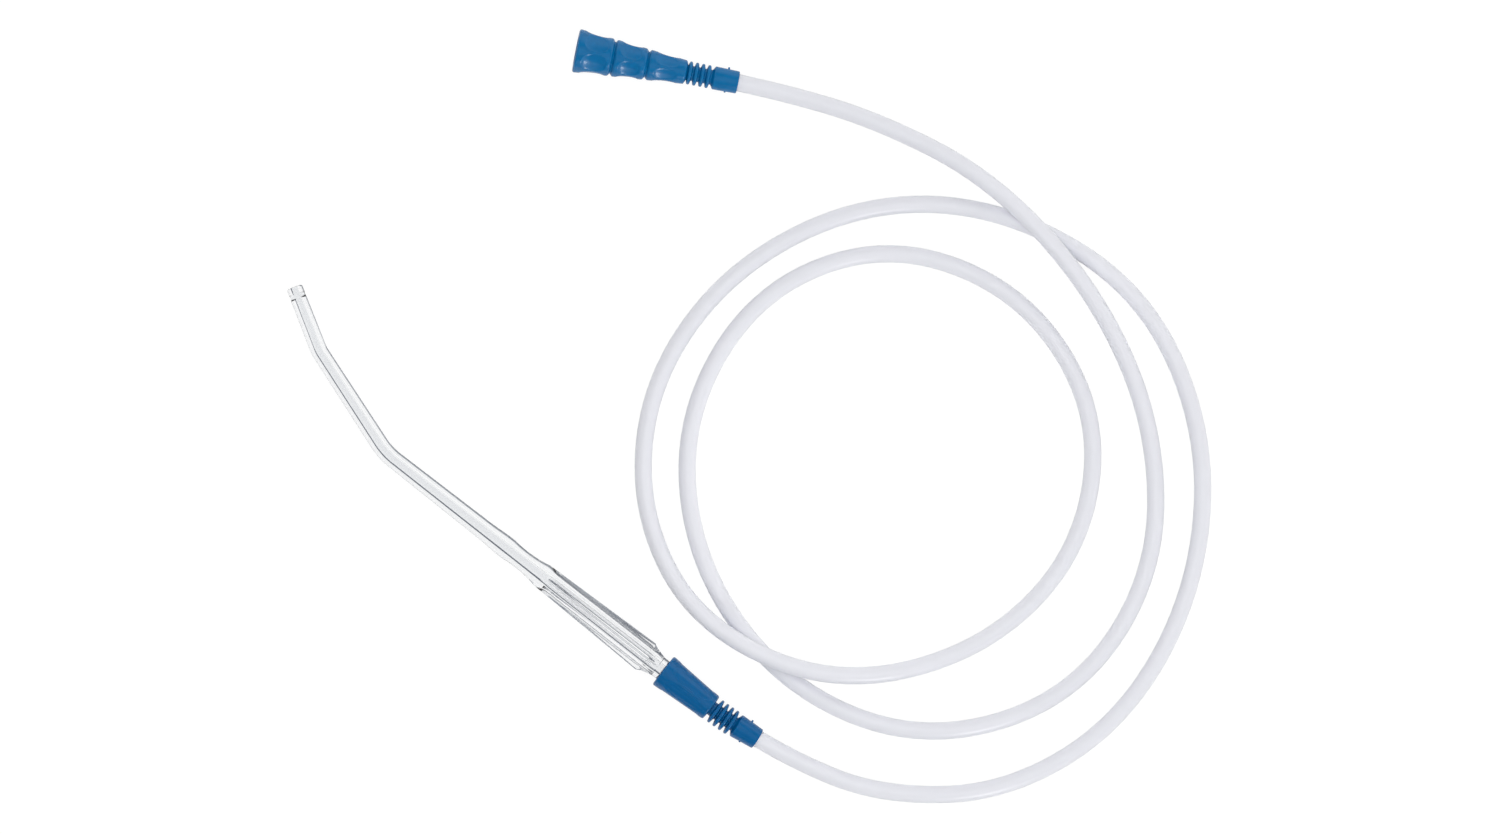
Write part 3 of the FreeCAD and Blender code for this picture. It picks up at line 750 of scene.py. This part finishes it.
world = bpy.data.worlds.new("studio")
scene.world = world
world.use_nodes = True
tree = world.node_tree
background = tree.nodes["Background"]
place = add_node(tree, "ShaderNodeTexCoord", {})
across = add_node(tree, "ShaderNodeSeparateXYZ", {}, Vector=place.outputs["Generated"])
side = add_node(
    tree,
    "ShaderNodeMapRange",
    {"From Min": -1.0, "From Max": 1.0},
    Value=across.outputs["Y"],
)


def tones(stops):
    """A ramp over the studio from its lower left, 0, to its upper right, 1."""
    ramp = add_node(tree, "ShaderNodeValToRGB", {}, Fac=side.outputs["Result"])
    while len(ramp.color_ramp.elements) < len(stops):
        ramp.color_ramp.elements.new(0.5)
    for element, (position, tone) in zip(ramp.color_ramp.elements, stops):
        element.position = position
        element.color = (*tone, 1)
    return ramp


WHITE = (1.0, 1.0, 1.0)
DARK_SIDE = (0.1, 0.115, 0.145)
GREY_SIDE = (0.14, 0.16, 0.2)
CEILING = (0.08, 0.08, 0.08)
CEILING_THROUGH_PLASTIC = (0.24, 0.26, 0.3, 1)
STRIP_EDGE, STRIP, STRIP_CORE = (0.6, 0.6, 0.6), (0.9, 0.9, 0.9), (2.4, 2.4, 2.4)
# the ceiling starts 30 degrees above the table, where the upward part of the direction is a half
CEILING_START = 0.5
# a Mix node's two colours in and its colour out, by number, since their names are used twice
MIX_A, MIX_B, MIXED = 6, 7, 2
below = tones([(0.03, DARK_SIDE), (0.08, GREY_SIDE), (0.15, WHITE)])
above = tones(
    [
        (0.0, WHITE),
        (0.06, STRIP_EDGE),
        (0.16, CEILING),
        (0.84, CEILING),
        (0.94, STRIP),
        (1.0, STRIP_CORE),
    ]
)
up = add_node(tree, "ShaderNodeMath", {"operation": "GREATER_THAN"})
up.inputs[1].default_value = CEILING_START
tree.links.new(across.outputs["Z"], up.inputs[0])
studio = add_node(tree, "ShaderNodeMix", {"data_type": "RGBA"})
studio_ray = add_node(tree, "ShaderNodeLightPath", {})
plain = add_node(tree, "ShaderNodeMix", {"data_type": "RGBA"})
tree.links.new(up.outputs["Value"], studio.inputs["Factor"])
tree.links.new(below.outputs["Color"], studio.inputs[MIX_A])
ceiling = add_node(tree, "ShaderNodeMix", {"data_type": "RGBA"})
tree.links.new(studio_ray.outputs["Is Transmission Ray"], ceiling.inputs["Factor"])
tree.links.new(above.outputs["Color"], ceiling.inputs[MIX_A])
ceiling.inputs[MIX_B].default_value = CEILING_THROUGH_PLASTIC
tree.links.new(ceiling.outputs[MIXED], studio.inputs[MIX_B])
tree.links.new(studio_ray.outputs["Is Camera Ray"], plain.inputs["Factor"])
tree.links.new(studio.outputs[MIXED], plain.inputs[MIX_A])
plain.inputs[MIX_B].default_value = (*WHITE, 1)
tree.links.new(plain.outputs[MIXED], background.inputs["Color"])


LAMP_AIM = (0.06, 0.1, 0)


def area_lamp(name, place, size, power, mirrored):
    """A square soft lamp that points from its place at the middle of the set."""
    data = bpy.data.lights.new(name, "AREA")
    data.size = size
    data.energy = power
    lamp = bpy.data.objects.new(name, data)
    lamp.location = place
    lamp.rotation_euler = (Vector(LAMP_AIM) - Vector(place)).to_track_quat("-Z", "Y").to_euler()
    lamp.visible_glossy = mirrored
    lamp.visible_transmission = False
    bpy.context.collection.objects.link(lamp)


area_lamp("overhead", (0.1, 0.15, 1.6), size=1.6, power=22.0, mirrored=False)
area_lamp("upper_right", (0.1, 1.5, 0.8), size=0.5, power=1.5, mirrored=False)
area_lamp("lower_right", (1.3, -0.8, 0.75), size=0.12, power=5.0, mirrored=True)
